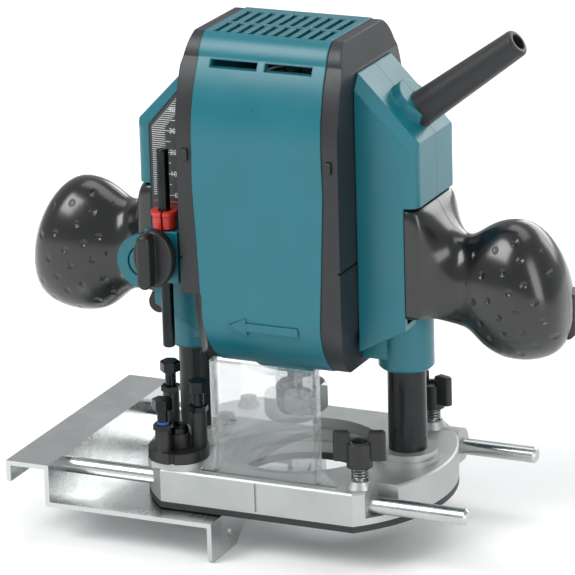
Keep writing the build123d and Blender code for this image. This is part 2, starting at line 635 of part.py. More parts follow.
def make_side_covers():
    """Dark covers over both flanks, each with a seam and a drawn-in foot."""
    sweep = turret_sweep()
    for side, name in SIDE_NAMES:
        flank = body_block(SIDE_COVER_X, 0.4) - panel_block(-SEAT)
        flank = flank & Pos(side * 50, 0, 140) * Box(100, 200, 300)
        hollow = body_block(SIDE_COVER_X - 2.4, 3.0) & Pos(0, 0, 152.5) * Box(200, 200, 101)
        with BuildPart() as cover:
            add(flank)
            with BuildSketch(Plane.XZ.offset(-100)):
                with BuildLine():
                    Polyline((side * 20, 40), (side * 34.5, 60), (side * SIDE_COVER_X, 86),
                             (side * SIDE_COVER_X, 203), (side * (SIDE_COVER_X - 3.4), 218),
                             (side * 20, 218), close=True)
                make_face()
            extrude(amount=200, mode=Mode.INTERSECT)
            add(hollow, mode=Mode.SUBTRACT)
            with Locations((0, 0, WEB_BOTTOM - SEAT)):
                Box(100, 2 * (WEB_HALF_DEPTH + SEAT), WEB_TOP - WEB_BOTTOM + 2 * SEAT, align=BOTTOM,
                    mode=Mode.SUBTRACT)
            with Locations((0, 0, 0)):
                Cylinder(NOSE_RADIUS + SEAT, WEB_TOP, align=BOTTOM, mode=Mode.SUBTRACT)
            if side < 0:
                add(sweep, mode=Mode.SUBTRACT)
            # seam between the upper cover and its foot
            with Locations((side * (SIDE_COVER_X + 9), 0, SIDE_COVER_SEAM_Z)):
                Box(20, 100, 1.0, mode=Mode.SUBTRACT)
        save(cover.part, name + "_side_cover")
    with BuildPart() as cover_clips:
        for side in SIDES:
            with Locations((side * 34.6, BODY_FRONT + 0.4, 164)):
                Box(2.6, 1.4, 5.2, align=(Align.CENTER, Align.MAX, Align.CENTER))
    save(cover_clips.part, "cover_clips")


def make_bracket():
    """Painted casting: nose, web and the two sleeves that ride on the columns."""
    with BuildPart() as motor_bracket:
        with Locations((0, 0, NOSE_BOTTOM)):
            Cylinder(NOSE_RADIUS, WEB_TOP - NOSE_BOTTOM, align=BOTTOM)
        fillet(motor_bracket.edges().group_by(Axis.Z)[0], 1.6)
        with Locations((0, 0, WEB_BOTTOM)):
            Box(2 * COLUMN_X, 2 * WEB_HALF_DEPTH, WEB_TOP - WEB_BOTTOM, align=BOTTOM)
        for side in SIDES:
            with Locations((side * COLUMN_X, 0, SLEEVE_BOTTOM)):
                Cylinder(SLEEVE_RADIUS, SLEEVE_TOP - SLEEVE_BOTTOM, align=BOTTOM)
        for side in SIDES:
            with Locations((side * COLUMN_X, 0, 0)):
                Cylinder(COLUMN_RADIUS + RUNNING, 200, align=BOTTOM, mode=Mode.SUBTRACT)
        chamfer(motor_bracket.edges().filter_by(GeomType.CIRCLE).filter_by(
            lambda e: abs(e.center().Z - SLEEVE_BOTTOM) < 0.1 and e.radius > 12), 1.2)
        with Locations((0, 0, LOWER_BEARING[0])):
            Cylinder(LOWER_BEARING[2], 30, align=BOTTOM, mode=Mode.SUBTRACT)
        Cylinder(9.5, 200, mode=Mode.SUBTRACT)
        with Locations(Location((0, NOSE_RADIUS, SHAFT_LOCK_Z), ALONG_FRONT)):
            Cylinder(LOCK_PIN_RADIUS + RUNNING, 30, mode=Mode.SUBTRACT)
    save(motor_bracket.part, "motor_bracket")


def arm_block(side, inset=0.0):
    """Front outline of an arm, (X, Z), extruded from front to rear."""
    inner = ARM_INNER - 3 * inset
    outer = ARM_OUTER - inset
    slope = (ARM_BOTTOM_OUTER - ARM_BOTTOM_INNER) / (ARM_OUTER - ARM_INNER)
    low_inner = ARM_BOTTOM_INNER + 1.1 * inset + slope * (inner - ARM_INNER)
    low_outer = ARM_BOTTOM_OUTER + 1.1 * inset + slope * (outer - ARM_OUTER)
    fall = (ARM_PEAK - ARM_SHOULDER) / (ARM_OUTER - ARM_INNER)
    peak = ARM_PEAK - 1.4 * inset - fall * (inner - ARM_INNER)
    shoulder = ARM_SHOULDER - 1.4 * inset - fall * (outer - ARM_OUTER)
    half_depth = ARM_HALF_DEPTH - inset
    with BuildPart() as block:
        with BuildSketch(Plane.XZ.offset(-half_depth)):
            with BuildLine():
                Polyline((side * inner, low_inner), (side * outer, low_outer),
                         (side * outer, shoulder), (side * inner, peak), close=True)
            make_face()
        extrude(amount=2 * half_depth)
        if inset == 0:
            shoulder_edges = block.edges().filter_by(
                lambda e: abs(e.center().Y) > ARM_HALF_DEPTH - 0.2 and e.center().Z > 176
                and abs(e.center().X) > ARM_INNER + 4)
            chamfer(shoulder_edges, 4.5)
            fillet(block.edges().filter_by(Axis.Z).filter_by(
                lambda e: abs(e.center().X) > ARM_OUTER - 1), 5)
    return block.part


def arm_body(side):
    """A hollow arm, open towards the motor, with room for the handle's root."""
    outer = arm_block(side)
    hollow = arm_block(side, ARM_WALL)
    with BuildPart() as arm:
        add(outer)
        add(hollow, mode=Mode.SUBTRACT)
        # shelf that the plunge spring pushes up against
        with Locations((side * (ARM_INNER + ARM_OUTER) / 2, 0, SPRING_TOP + SEAT)):
            Box(ARM_OUTER - ARM_INNER - 4, 2 * ARM_HALF_DEPTH - 4, 3, align=BOTTOM)
        with Locations((side * COLUMN_X, 0, 60)):
            Cylinder(SLEEVE_RADIUS + SEAT, 50, align=BOTTOM, mode=Mode.SUBTRACT)
        with Locations((side * (HANDLE_ROOT + 20), 0, 70)):
            Box(40, 80, HANDLE_TOP - 70, align=BOTTOM, mode=Mode.SUBTRACT)
        with Locations((0, 0, WEB_BOTTOM - SEAT)):
            Box(2 * COLUMN_X, 2 * (WEB_HALF_DEPTH + SEAT), WEB_TOP - WEB_BOTTOM + 2 * SEAT, align=BOTTOM,
                mode=Mode.SUBTRACT)
        for x, z in ARM_SCREWS:
            with Locations(Location((side * x, ARM_HALF_DEPTH + 1, z), ALONG_FRONT)):
                Cylinder(SCREW_HEAD_RADIUS + SEAT, 9, mode=Mode.SUBTRACT)
    return arm.part


def guard_plane(start, along=0.0):
    """Plane across the cord guard, a distance along it from a point (X, Z)."""
    angle = radians(GUARD_ANGLE)
    origin = (start[0] + along * cos(angle), 0, start[1] + along * sin(angle))
    return Plane(origin=origin, x_dir=(0, 1, 0), z_dir=(cos(angle), 0, sin(angle)))


def make_arms():
    boss_plane = Plane(origin=(54.0, 0, 181.4), x_dir=(0, 1, 0), z_dir=(1, 0, 1))
    for side, name in SIDE_NAMES:
        plain = arm_body(side)
        with BuildPart() as arm:
            add(plain)
            if side > 0:
                # raised ring round the cord guard
                with Locations(boss_plane.location):
                    Cylinder(11.6, 3, align=TOP)
                    Cone(11.6, 10.6, 8.4, align=BOTTOM)
                with Locations(guard_plane(GUARD_ROOT).location):
                    Cylinder(GUARD_ROOT_RADIUS + SEAT, 80, mode=Mode.SUBTRACT)
            else:
                # flat recess for the scale, a ledge below it and the pole's guide
                with BuildSketch(Plane.XZ.offset(ARM_HALF_DEPTH)):
                    with BuildLine():
                        Polyline((-ARM_INNER + 5, SCALE_BOTTOM), (-SCALE_OUTER, SCALE_BOTTOM),
                                 (-SCALE_OUTER, 170.5), (-ARM_INNER + 5, 201), close=True)
                    make_face()
                extrude(amount=-1.4, mode=Mode.SUBTRACT)
                with Locations((POLE_X, POLE_GUIDE_FRONT, SCALE_BOTTOM)):
                    Box(16, 16, 24, align=(Align.CENTER, Align.MIN, Align.MAX))
                with Locations((POLE_X, POLE_Y, 60)):
                    Cylinder(POLE_RADIUS + RUNNING, 100, align=BOTTOM, mode=Mode.SUBTRACT)
                with Locations(Location((POLE_X, -36, KNOB_Z), ALONG_FRONT)):
                    Cylinder(2.5 + RUNNING, 40, mode=Mode.SUBTRACT)
                with Locations(Location((PIVOT_X, -ARM_HALF_DEPTH + 3, PIVOT_Z), ALONG_FRONT)):
                    Cylinder(12.7, 5.2, align=BOTTOM)
                    Cylinder(7.4, 20, mode=Mode.SUBTRACT)
                with Locations((-COLUMN_X, 0, 60)):
                    Cylinder(SLEEVE_RADIUS + SEAT, 50, align=BOTTOM, mode=Mode.SUBTRACT)
        save_halves(arm.part, name + "_arm")


def across(side, x, z=0.0):
    """Plane facing outwards at a distance from the spindle, its Y upwards."""
    return Plane(origin=(side * x, 0, z), x_dir=(0, side, 0), z_dir=(side, 0, 0))


def grip_body(side, inset=0.0):
    """Knob-shaped grip: ellipses lofted outwards from its neck."""
    with BuildPart() as grip:
        for x, centre, half_height, half_depth in GRIP_SECTIONS:
            end = inset if x > 120 else 0
            with BuildSketch(across(side, x - end, centre)):
                Ellipse(half_depth - inset, half_height - inset)
        loft()
    return grip.part


def handle_root(side):
    """Block that fills the arm's opening and swells into the neck."""
    middle = (HANDLE_TOP + HANDLE_BOTTOM) / 2
    height = HANDLE_TOP - HANDLE_BOTTOM - 2 * SEAT
    with BuildPart() as root:
        with BuildSketch(across(side, HANDLE_ROOT + SEAT, middle)):
            RectangleRounded(2 * ARM_HALF_DEPTH, height, 3)
        with BuildSketch(across(side, ARM_OUTER + 0.4, middle - 1)):
            RectangleRounded(2 * ARM_HALF_DEPTH - 3, height - 2, 6)
        loft()
        with BuildSketch(across(side, ARM_OUTER + 0.4, middle - 1)):
            RectangleRounded(2 * ARM_HALF_DEPTH - 3, height - 2, 6)
        with BuildSketch(across(side, 71.5, NECK_HEIGHT)):
            Ellipse(18.4, 23.4)
        with BuildSketch(across(side, GRIP_SECTIONS[0][0] + 0.4, GRIP_SECTIONS[0][1])):
            Ellipse(16.0, 20.8)
        loft()
    return root.part


def make_handles():
    for side, name in SIDE_NAMES:
        hollow = grip_body(side, HANDLE_WALL)
        outer_grip = grip_body(side)
        outer_root = handle_root(side)
        x, z = GRIP_SCREW
        with BuildPart() as shell:
            add(outer_grip)
            add(outer_root)
            add(hollow, mode=Mode.SUBTRACT)
            with Locations((side * COLUMN_X, 0, 60)):
                Cylinder(SLEEVE_RADIUS + SEAT, 50, align=BOTTOM, mode=Mode.SUBTRACT)
            with Locations(Location((side * x, 20, z), ALONG_FRONT)):
                Cylinder(SCREW_HEAD_RADIUS + SEAT, 12, mode=Mode.SUBTRACT)
            if side < 0:
                with Locations(Location((PIVOT_X, 0, PIVOT_Z), ALONG_FRONT)):
                    Cylinder(12.7 + SEAT, 60, align=BOTTOM, mode=Mode.SUBTRACT)
                with Locations(Location((PIVOT_X, 18, PIVOT_Z), ALONG_FRONT)):
                    Cylinder(LEVER_PIN_RADIUS, 20, mode=Mode.SUBTRACT)
            else:
                with Locations(TRIGGER):
                    Box(34, TRIGGER_SIZE[1] + 2 * GAP, TRIGGER_SIZE[2] + 2 * GAP, mode=Mode.SUBTRACT)
                with Locations(Location(LOCK_BUTTON, ALONG_FRONT)):
                    Cylinder(LOCK_BUTTON_RADIUS + GAP, 30, mode=Mode.SUBTRACT)
        save_halves(shell.part, name + "_handle")


def make_fittings():
    """Scale, cord guard, screws and the small fixed pieces of the motor unit."""
    with BuildPart() as scale_plate:
        with BuildSketch(Plane.XZ.offset(ARM_HALF_DEPTH - 0.2)):
            with BuildLine():
                Polyline((-ARM_INNER - 0.2, SCALE_BOTTOM + 0.2), (0.2 - SCALE_OUTER, SCALE_BOTTOM + 0.2),
                         (0.2 - SCALE_OUTER, 170.3), (-ARM_INNER - 0.2, 194.9), close=True)
            make_face()
        extrude(amount=-1.1)
    save(scale_plate.part, "scale_plate")

    angle = radians(GUARD_ANGLE)
    length = hypot(GUARD_TIP[0] - GUARD_ROOT[0], GUARD_TIP[1] - GUARD_ROOT[1])
    with BuildPart() as cord_guard:
        with BuildSketch(guard_plane(GUARD_ROOT, -7)):
            Circle(GUARD_ROOT_RADIUS)
        extrude(amount=13)
        with BuildSketch(guard_plane(GUARD_ROOT, 6)):
            Circle(GUARD_ROOT_RADIUS)
        with BuildSketch(guard_plane(GUARD_ROOT, length)):
            Circle(GUARD_TIP_RADIUS)
        loft()
        fillet(cord_guard.faces().sort_by(Axis((0, 0, 0), (cos(angle), 0, sin(angle))))[-1].edges(), 1.6)
        with BuildSketch(guard_plane(GUARD_ROOT, -20)):
            Circle(CORD_RADIUS)
        extrude(amount=length + 40, mode=Mode.SUBTRACT)
    save(cord_guard.part, "cord_guard")

    with BuildPart() as housing_screws:
        for side in SIDES:
            for x, z in ARM_SCREWS:
                with Locations(Location((side * x, ARM_HALF_DEPTH - 0.3, z), ALONG_FRONT)):
                    Cylinder(SCREW_HEAD_RADIUS, 2.2, align=BOTTOM)
                    Cylinder(1.6, 2 * ARM_HALF_DEPTH - ARM_WALL - 1, align=BOTTOM)
                with Locations((side * x, ARM_HALF_DEPTH - 0.3, z)):
                    Box(4, 2.4, 0.9, mode=Mode.SUBTRACT)
                    Box(0.9, 2.4, 4, mode=Mode.SUBTRACT)
            x, z = GRIP_SCREW
            with Locations(Location((side * x, 19.6, z), ALONG_FRONT)):
                Cylinder(SCREW_HEAD_RADIUS, 2.2, align=BOTTOM)
                Cylinder(1.6, 37, align=BOTTOM)
            with Locations((side * x, 19.6, z)):
                Box(4, 2.4, 0.9, mode=Mode.SUBTRACT)
                Box(0.9, 2.4, 4, mode=Mode.SUBTRACT)
    save(housing_screws.part, "housing_screws")

    with BuildPart() as pivot_cap:
        with Locations(Location((PIVOT_X, -ARM_HALF_DEPTH + 0.4, PIVOT_Z), ALONG_FRONT)):
            Cylinder(7.4 - SEAT, 2.4, align=BOTTOM)
        chamfer(pivot_cap.edges().group_by(Axis.Y)[0], 0.8)
    save(pivot_cap.part, "pivot_cap")

    with BuildPart() as lever_pin:
        with Locations(Location((PIVOT_X, LEVER_BACK + 0.4, PIVOT_Z), ALONG_FRONT)):
            Cylinder(LEVER_PIN_RADIUS, LEVER_BACK - 8 + 0.4, align=BOTTOM)
            Cylinder(5.2, 1.8, align=TOP)
    save(lever_pin.part, "lever_pin")


def make_motor():
    """Stator, brushes, bearings and their plate, all fixed in the motor cover."""
    with BuildPart() as stator_core:
        with Locations((0, 0, CORE[0])):
            Cylinder(STATOR_RADIUS, CORE[1] - CORE[0], align=BOTTOM)
            Cylinder(CORE[2] + STATOR_GAP, 60, align=BOTTOM, mode=Mode.SUBTRACT)
    save(stator_core.part, "stator_core")
    with BuildPart() as stator_coils:
        for bottom in (CORE[0] - 6, CORE[1] + SEAT):
            with Locations((0, 0, bottom)):
                Cylinder(STATOR_RADIUS - 1.4, 6 - SEAT, align=BOTTOM)
                Cylinder(CORE[2] + 1.6, 6, align=BOTTOM, mode=Mode.SUBTRACT)
    save(stator_coils.part, "stator_coils")
    with BuildPart() as brush_holders:
        for side in SIDES:
            with Locations((side * 21.6, 0, BRUSH_Z)):
                Box(18.6, 12.9, 14.9)
                Box(30, 7.2, 9.2, mode=Mode.SUBTRACT)
    save(brush_holders.part, "brush_holders")
    with BuildPart() as carbon_brushes:
        for side in SIDES:
            with Locations((side * 18.2, 0, BRUSH_Z)):
                Box(14, 7.0, 9.0)
    save(carbon_brushes.part, "carbon_brushes")
    for name, (low, high, outer), shaft in (("lower_bearing", LOWER_BEARING, SPINDLE_RADIUS),
                                            ("upper_bearing", UPPER_BEARING, UPPER_JOURNAL)):
        with BuildPart() as bearing:
            with Locations((0, 0, low + SEAT)):
                Cylinder(outer - SEAT, high - low - SEAT, align=BOTTOM)
            middle = (outer + shaft) / 2
            for z in (low + SEAT, high - 0.6):
                with Locations((0, 0, z)):
                    Cylinder(middle + 1.8, 0.6, align=BOTTOM, mode=Mode.SUBTRACT)
                    Cylinder(middle - 1.8, 0.6, align=BOTTOM)
            Cylinder(shaft + RUNNING, 500, mode=Mode.SUBTRACT)
        save(bearing.part, name)
    low, high, outer = UPPER_BEARING
    with BuildPart() as bearing_plate:
        with Locations((0, -3.5, low - 4)):
            Box(56.4, 62, 4, align=BOTTOM)
        with Locations((0, 0, low - 4)):
            Cylinder(outer + 2.4, high - low + 4, align=BOTTOM)
        with Locations((0, 0, low)):
            Cylinder(outer, 20, align=BOTTOM, mode=Mode.SUBTRACT)
        Cylinder(UPPER_JOURNAL + 2, 500, mode=Mode.SUBTRACT)
        with GridLocations(44, 44, 2, 2):
            with Locations((0, -3.5, low - 5)):
                Cylinder(4, 6, align=BOTTOM, mode=Mode.SUBTRACT)
    save(bearing_plate.part, "bearing_plate")
    with BuildPart() as switch_body:
        with Locations((100, 4, 94)):
            Box(20, 12, 15)
        with Locations((110.5, 7, 93)):
            Box(3, 5, 5)
    save(switch_body.part, "switch_body")


def make_rotor():
    with BuildPart() as spindle:
        with Locations((0, 0, NUT_TOP - 5)):
            Cylinder(SPINDLE_RADIUS, 103 - NUT_TOP + 5, align=BOTTOM)
        with Locations((0, 0, 103)):
            Cylinder(5, UPPER_BEARING[0] - 2 - 103, align=BOTTOM)
        with Locations((0, 0, UPPER_BEARING[0] - 2)):
            Cylinder(UPPER_JOURNAL, UPPER_BEARING[1] + 2 - UPPER_BEARING[0] + 2, align=BOTTOM)
        with Locations((0, 0, NUT_TOP - 5)):
            Cylinder(COLLET_BORE + 1.2, 22, align=BOTTOM, mode=Mode.SUBTRACT)
    save(spindle.part, "spindle")
    with BuildPart() as collet_cone:
        with Locations((0, 0, NUT_BOTTOM + 1.2)):
            Cylinder(COLLET_BORE + 1.1, 26, align=BOTTOM)
            Cylinder(COLLET_BORE, 40, align=BOTTOM, mode=Mode.SUBTRACT)
            with PolarLocations(5, 4):
                Box(5, 0.8, 18, align=BOTTOM, mode=Mode.SUBTRACT)
    save(collet_cone.part, "collet_cone")
    with BuildPart() as rounding:
        with Locations((0, 0, NUT_BOTTOM)):
            Cylinder(12.0, NUT_TOP - NUT_BOTTOM, align=BOTTOM)
        chamfer(rounding.edges().filter_by(GeomType.CIRCLE), 1.6)
    with BuildPart() as collet_nut:
        with BuildSketch(Plane.XY.offset(NUT_BOTTOM)):
            RegularPolygon(NUT_FLATS / 2, 6, major_radius=False, rotation=12)
        extrude(amount=NUT_TOP - NUT_BOTTOM)
        add(rounding.part, mode=Mode.INTERSECT)
        Cylinder(COLLET_BORE + 1.1 + SEAT, 500, mode=Mode.SUBTRACT)
        with Locations((0, 0, NUT_TOP - 5 - SEAT)):
            Cylinder(SPINDLE_RADIUS + SEAT, 20, align=BOTTOM, mode=Mode.SUBTRACT)
    save(collet_nut.part, "collet_nut")
    with BuildPart() as armature_core:
        with Locations((0, 0, CORE[0])):
            Cylinder(CORE[2], CORE[1] - CORE[0], align=BOTTOM)
            Cylinder(5 + SEAT, 60, align=BOTTOM, mode=Mode.SUBTRACT)
            with PolarLocations(CORE[2], 12):
                Box(9, 2.0, 60, align=BOTTOM, mode=Mode.SUBTRACT)
        # end windings, varnished on to the laminations
        with Locations((0, 0, CORE[1])):
            Cylinder(CORE[2] - 2, 7, align=BOTTOM)
            Cylinder(5 + SEAT, 20, align=BOTTOM, mode=Mode.SUBTRACT)
    save(armature_core.part, "armature_core")
    with BuildPart() as commutator:
        with Locations((0, 0, COMMUTATOR[0])):
            Cylinder(COMMUTATOR[2], COMMUTATOR[1] - COMMUTATOR[0], align=BOTTOM)
            Cylinder(5 + SEAT, 60, align=BOTTOM, mode=Mode.SUBTRACT)
    save(commutator.part, "commutator")
    low, high, radius = FAN
    with BuildPart() as cooling_fan:
        with Locations((0, 0, low)):
            Cylinder(radius, 1.4, align=BOTTOM)
            Cylinder(9.5, high - low, align=BOTTOM)
        with Locations((0, 0, low + 1)):
            with PolarLocations(16.5, 12):
                Box(15, 1.4, high - low - 1, align=BOTTOM)
        with Locations((0, 0, low - 1)):
            Cylinder(SPINDLE_RADIUS + SEAT, 60, align=BOTTOM, mode=Mode.SUBTRACT)
    save(cooling_fan.part, "cooling_fan")


def make_depth_stop():
    with BuildPart() as stopper_pole:
        with Locations((POLE_X, POLE_Y, POLE_BOTTOM)):
            Cylinder(POLE_RADIUS, POLE_TOP - POLE_BOTTOM, align=BOTTOM)
        chamfer(stopper_pole.edges().filter_by(GeomType.CIRCLE), 0.6)
    save(stopper_pole.part, "stopper_pole")
    with BuildPart() as depth_pointer:
        with Locations((POLE_X, POLE_Y, POINTER_BOTTOM)):
            Cylinder(POINTER_RADIUS, POINTER_HEIGHT, align=BOTTOM)
        with Locations((POLE_X, POLE_Y, POINTER_BOTTOM + POINTER_HEIGHT - 2)):
            Cylinder(POINTER_RADIUS + 0.6, 2, align=BOTTOM)
        with Locations((POLE_X, POLE_Y, POINTER_BOTTOM + POINTER_HEIGHT - 2)):
            Box(9.5, 7.0, 2, align=(Align.CENTER, Align.MIN, Align.MIN))
        with Locations((POLE_X, POLE_Y, 0)):
            Cylinder(POLE_RADIUS + RUNNING, 400, align=BOTTOM, mode=Mode.SUBTRACT)
        with Locations(Location((POLE_X, POLE_Y, POINTER_BOTTOM - 1), (0, 0, 12))):
            Box(0.9, 20, 30, align=(Align.CENTER, Align.MAX, Align.MIN), mode=Mode.SUBTRACT)
    save(depth_pointer.part, "depth_pointer")
    hub_front = -(BODY_FRONT - 1.0)
    with BuildPart() as pole_knob:
        with Locations(Location((POLE_X, POLE_GUIDE_FRONT - GAP, KNOB_Z), ALONG_FRONT)):
            Cylinder(6.5, POLE_GUIDE_FRONT - GAP + hub_front, align=BOTTOM)
        with BuildSketch(Plane.XZ.offset(hub_front)):
            with Locations((POLE_X, KNOB_Z)):
                Ellipse(9.6, 13.2)
        extrude(amount=5.0)
        fillet(pole_knob.faces().sort_by(Axis.Y)[0].edges(), 1.4)
        with BuildSketch(Plane.XZ.offset(hub_front + 4.0)):
            with Locations((POLE_X - 1.5, KNOB_Z)):
                SlotOverall(25.4, 6.6, rotation=90)
        extrude(amount=8.0)
        fillet(pole_knob.faces().sort_by(Axis.Y)[0].edges(), 2.0)
        with Locations(Location((POLE_X, POLE_Y - POLE_RADIUS - 0.15, KNOB_Z), ALONG_FRONT)):
            Cylinder(2.5, 4, align=BOTTOM)
    save(pole_knob.part, "pole_knob")


def make_controls():
    """Plunge lock lever, switch trigger, its lock button and the shaft lock."""
    tip_x, tip_z = PIVOT_X - 17.0, PIVOT_Z - 36.0
    turn = degrees(atan2(tip_z - PIVOT_Z, tip_x - PIVOT_X))
    reach = hypot(tip_x - PIVOT_X, tip_z - PIVOT_Z)
    with BuildPart() as lock_lever:
        with Locations(Location((PIVOT_X, LEVER_BACK, PIVOT_Z), ALONG_FRONT)):
            Cylinder(9.0, LEVER_BACK - LEVER_FRONT, align=BOTTOM)
        with BuildSketch(Plane.XZ.offset(-LEVER_BACK)):
            with Locations(((PIVOT_X + tip_x) / 2, (PIVOT_Z + tip_z) / 2)):
                SlotOverall(reach + 10, 10, rotation=turn)
        extrude(amount=LEVER_BACK - LEVER_FRONT)
        chamfer(lock_lever.faces().sort_by(Axis.Y)[-1].edges(), 1.0)
        with Locations(Location((PIVOT_X, 0, PIVOT_Z), ALONG_FRONT)):
            Cylinder(LEVER_PIN_RADIUS + RUNNING, 200, mode=Mode.SUBTRACT)
    save(lock_lever.part, "lock_lever")
    with BuildPart() as trigger:
        with Locations(TRIGGER):
            Box(*TRIGGER_SIZE)
        fillet(trigger.faces().sort_by(Axis.X)[-1].edges(), 3.0)
    save(trigger.part, "switch_trigger")
    with BuildPart() as lock_button:
        x, y, z = LOCK_BUTTON
        with Locations(Location((x, y, z), ALONG_FRONT)):
            Cylinder(LOCK_BUTTON_RADIUS, 11, align=BOTTOM)
        fillet(lock_button.edges().group_by(Axis.Y)[-1], 1.0)
    save(lock_button.part, "lock_button")
    with BuildPart() as shaft_lock:
        with Locations(Location((0, NOSE_RADIUS + 2.8, SHAFT_LOCK_Z), ALONG_FRONT)):
            Cylinder(SHAFT_LOCK_RADIUS, 4.0, align=TOP)
            Cylinder(LOCK_PIN_RADIUS, NOSE_RADIUS + 2.8 - 10, align=BOTTOM)
        fillet(shaft_lock.edges().group_by(Axis.Y)[-1], 0.8)
    save(shaft_lock.part, "shaft_lock")


if __name__ == "__main__":
    screw_places = make_sole()
    make_base(screw_places)
    make_columns()
    make_springs()
    make_deflector()
    make_nozzle_screw()
    make_turret()
    make_clamps()
    make_edge_guide()
    make_motor_cover()
    make_side_covers()
    make_bracket()
    make_arms()
    make_handles()
    make_fittings()
    make_motor()
    make_rotor()
    make_depth_stop()
    make_controls()
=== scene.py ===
import bmesh
import bpy
import math
from mathutils import Matrix, Vector


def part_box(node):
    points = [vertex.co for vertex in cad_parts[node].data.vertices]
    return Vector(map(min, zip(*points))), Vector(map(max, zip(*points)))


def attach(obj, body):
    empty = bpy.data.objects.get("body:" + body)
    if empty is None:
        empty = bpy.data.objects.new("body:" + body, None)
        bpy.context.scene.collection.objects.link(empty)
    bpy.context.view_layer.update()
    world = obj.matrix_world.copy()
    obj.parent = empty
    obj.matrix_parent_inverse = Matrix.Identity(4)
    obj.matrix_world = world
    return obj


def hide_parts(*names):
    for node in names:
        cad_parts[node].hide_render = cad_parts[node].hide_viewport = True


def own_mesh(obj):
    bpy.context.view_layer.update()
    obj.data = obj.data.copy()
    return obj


# Compact plunge router: moulded teal body, black grips, cast base and a bent steel guide.
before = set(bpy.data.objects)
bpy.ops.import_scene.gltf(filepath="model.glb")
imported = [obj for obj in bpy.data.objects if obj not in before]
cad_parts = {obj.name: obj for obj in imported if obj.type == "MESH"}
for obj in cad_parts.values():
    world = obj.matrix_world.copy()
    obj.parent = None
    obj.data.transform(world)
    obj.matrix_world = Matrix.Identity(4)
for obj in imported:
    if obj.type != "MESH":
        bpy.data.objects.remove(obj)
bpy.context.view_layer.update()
MM = 0.001


def linear(hex_colour):
    """sRGB hex to the linear colour a shader takes."""
    parts = [int(hex_colour[i:i + 2], 16) / 255 for i in (1, 3, 5)]
    return [c / 12.92 if c <= 0.04045 else ((c + 0.055) / 1.055) ** 2.4 for c in parts] + [1]


def put(tree, kind, inputs=(), **settings):
    """Adds a node with its settings, its values and the links that feed it."""
    made = tree.nodes.new(kind)
    for name, value in settings.items():
        setattr(made, name, value)
    for name, value in dict(inputs).items():
        if isinstance(value, bpy.types.NodeSocket):
            tree.links.new(value, made.inputs[name])
        else:
            made.inputs[name].default_value = value
    return made


def per_metre(size_mm):
    """Texture scale that repeats about once in a length of millimetres."""
    return 1000 / size_mm


def surface(name, metallic=0.0, **values):
    """A material with its shader and the object's own coordinates."""
    material = bpy.data.materials.new(name)
    material.use_nodes = True
    tree = material.node_tree
    shader = tree.nodes["Principled BSDF"]
    shader.inputs["Metallic"].default_value = metallic
    for key, value in values.items():
        shader.inputs[key.replace("_", " ")].default_value = value
    where = put(tree, "ShaderNodeTexCoord").outputs["Object"]
    return material, tree, shader, where


def shade(tree, shader, where, dark, light, patch_mm, rough, height, depth_mm):
    """Colour and roughness that drift between two values, and relief from a height."""
    drift = put(tree, "ShaderNodeTexNoise",
                {"Vector": where, "Scale": per_metre(patch_mm), "Detail": 4.0}).outputs["Fac"]
    tone = put(tree, "ShaderNodeMix", {"Factor": drift, 6: linear(dark), 7: linear(light)},
               data_type="RGBA")
    tree.links.new(tone.outputs[2], shader.inputs["Base Color"])
    spread = put(tree, "ShaderNodeMapRange",
                 {"Value": drift, "From Min": 0.3, "From Max": 0.7,
                  "To Min": rough[0], "To Max": rough[1]})
    tree.links.new(spread.outputs["Result"], shader.inputs["Roughness"])
    bump = put(tree, "ShaderNodeBump",
               {"Height": height, "Distance": depth_mm * MM, "Strength": 1.0})
    tree.links.new(bump.outputs["Normal"], shader.inputs["Normal"])
    return bump


def spark_nylon(name, dark, light, rough, grain_mm=0.7, depth_mm=0.03, **values):
    """Glass-filled nylon from a spark-eroded mould: a fine orange-peel grain that breaks
    up the highlight. The real grain is 0.1 mm; it is drawn coarser so that it shows."""
    material, tree, shader, where = surface(name, IOR=1.53, **values)
    peel = put(tree, "ShaderNodeTexNoise", {"Vector": where, "Scale": per_metre(grain_mm)})
    bump = shade(tree, shader, where, dark, light, 22, rough, peel.outputs["Fac"], depth_mm)
    edge = put(tree, "ShaderNodeBevel", {"Radius": 0.9 * MM}, samples=4)
    tree.links.new(edge.outputs["Normal"], bump.inputs["Normal"])
    return material


def zinc_plated_steel(name, dark="#A9ADAD", light="#D3D6D5", brush=(1, 1, 1)):
    """Bright zinc over cold-rolled steel: a clean mirror-grey with faint rolling lines."""
    material, tree, shader, where = surface(name, metallic=1.0)
    turned = put(tree, "ShaderNodeMapping", {"Vector": where, "Scale": brush})
    lines = put(tree, "ShaderNodeTexNoise",
                {"Vector": turned.outputs["Vector"], "Scale": per_metre(0.6), "Detail": 3.0})
    shade(tree, shader, where, dark, light, 14, (0.2, 0.34), lines.outputs["Fac"], 0.012)
    return material


def cast_aluminium():
    """Pressure die-cast aluminium, tumbled: pale matt grey skin with a pebbled grain of
    about half a millimetre and greyer flow patches."""
    material, tree, shader, where = surface("die_cast_aluminium", metallic=0.75)
    pebbles = put(tree, "ShaderNodeTexNoise",
                  {"Vector": where, "Scale": per_metre(0.6), "Detail": 3.0})
    waves = put(tree, "ShaderNodeTexNoise", {"Vector": where, "Scale": per_metre(4.5)})
    height = put(tree, "ShaderNodeMath", {0: pebbles.outputs["Fac"], 1: waves.outputs["Fac"]},
                 operation="ADD")
    shade(tree, shader, where, "#A0A4A3", "#C6CAC8", 17, (0.38, 0.55), height.outputs[0], 0.05)
    return material


